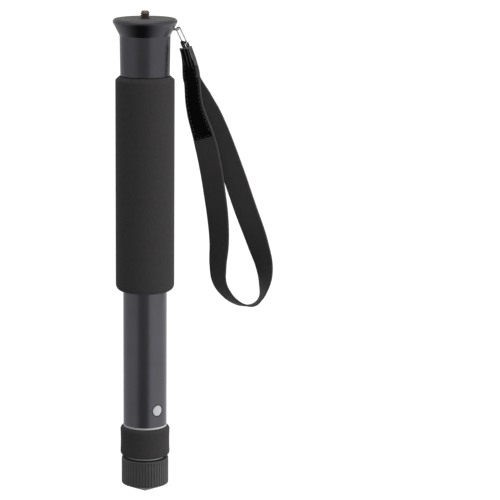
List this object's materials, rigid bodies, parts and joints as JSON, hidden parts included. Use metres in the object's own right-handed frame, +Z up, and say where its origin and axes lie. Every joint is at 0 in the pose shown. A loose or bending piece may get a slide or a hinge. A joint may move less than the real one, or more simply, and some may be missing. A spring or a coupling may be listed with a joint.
{
  "type": "camera monopod",
  "caption": "Closed telescopic camera monopod with nested twist-lock tubes, flared camera platform and screw, foam grip and collar, fluted rubber foot and a wrist strap on a link.",
  "frame": {"origin": "base of the camera screw, at the centre of the camera platform's top face", "axes": "+Z up the screw and along the tubes, away from the foot; +X towards the wrist strap; -Y is the side shown in the picture"},
  "size_m": [0.1083, 0.0436, 0.3354],
  "materials": {
    "head_metal": "dark satin enamel",
    "pad_rubber": "fine matte",
    "steel": "dull plated",
    "foam": "fine closed-cell foam",
    "foot_rubber": "matte moulded rubber",
    "tube_metal": "gunmetal satin anodised",
    "grey_plastic": "satin",
    "lock_plastic": "natural nylon",
    "black_plastic": "satin",
    "bright_metal": "bright nickel",
    "cord": "braided",
    "webbing": "woven tape",
    "pile": "loop pile"
  },
  "bodies": {
    "top_section": {"head": "head_metal", "platform_pad": "pad_rubber", "camera_screw": "steel", "strap_eye": "steel", "foam_grip": "foam", "tube_1": "tube_metal", "guide_bush_1": "grey_plastic"},
    "lock_1": {"lock_shoe_1": "lock_plastic"},
    "section_2": {"tube_2": "tube_metal", "lock_plug_1": "black_plastic", "guide_bush_2": "grey_plastic", "foam_collar": "foam"},
    "lock_2": {"lock_shoe_2": "lock_plastic"},
    "section_3": {"tube_3": "tube_metal", "lock_plug_2": "black_plastic", "guide_bush_3": "grey_plastic"},
    "lock_3": {"lock_shoe_3": "lock_plastic"},
    "section_4": {"tube_4": "tube_metal", "lock_plug_3": "black_plastic", "guide_bush_4": "grey_plastic"},
    "lock_4": {"lock_shoe_4": "lock_plastic"},
    "section_5": {"tube_5": "tube_metal", "lock_plug_4": "black_plastic", "guide_bush_5": "grey_plastic"},
    "lock_5": {"lock_shoe_5": "lock_plastic"},
    "section_6": {"tube_6": "tube_metal", "lock_plug_5": "black_plastic", "foot_core": "black_plastic", "foot_boot": "foot_rubber"},
    "link": {"strap_link": "bright_metal"},
    "strap": {"strap_cord": "cord", "wrist_strap": "webbing", "strap_patch": "pile"}
  },
  "joints": [
    {"name": "slide_1", "type": "slide", "parent": "top_section", "child": "lock_1", "axis": [0, 0, -1], "range_m": [0, 0.2338]},
    {"name": "twist_1", "type": "hinge", "parent": "lock_1", "child": "section_2", "pos_m": [0, 0, -0.02075], "axis": [0, 0, 1], "range_deg": [0, 35]},
    {"name": "slide_2", "type": "slide", "parent": "section_2", "child": "lock_2", "axis": [0, 0, -1], "range_m": [0, 0.236]},
    {"name": "twist_2", "type": "hinge", "parent": "lock_2", "child": "section_3", "pos_m": [0, 0, -0.04085], "axis": [0, 0, 1], "range_deg": [0, 35]},
    {"name": "slide_3", "type": "slide", "parent": "section_3", "child": "lock_3", "axis": [0, 0, -1], "range_m": [0, 0.2159]},
    {"name": "twist_3", "type": "hinge", "parent": "lock_3", "child": "section_4", "pos_m": [0, 0, -0.06095], "axis": [0, 0, 1], "range_deg": [0, 35]},
    {"name": "slide_4", "type": "slide", "parent": "section_4", "child": "lock_4", "axis": [0, 0, -1], "range_m": [0, 0.1958]},
    {"name": "twist_4", "type": "hinge", "parent": "lock_4", "child": "section_5", "pos_m": [0, 0, -0.08105], "axis": [0, 0, 1], "range_deg": [0, 35]},
    {"name": "slide_5", "type": "slide", "parent": "section_5", "child": "lock_5", "axis": [0, 0, -1], "range_m": [0, 0.1757]},
    {"name": "twist_5", "type": "hinge", "parent": "lock_5", "child": "section_6", "pos_m": [0, 0, -0.10115], "axis": [0, 0, 1], "range_deg": [0, 35]},
    {"name": "link_swing", "type": "hinge", "parent": "top_section", "child": "link", "pos_m": [0.0225, 0, -0.0072], "axis": [0, -1, 0], "range_deg": [-6, 60]},
    {"name": "strap_swing", "type": "hinge", "parent": "link", "child": "strap", "pos_m": [0.0273, 0, -0.01726], "axis": [0.9026, 0, 0.4305], "range_deg": [-60, 60]}
  ]
}
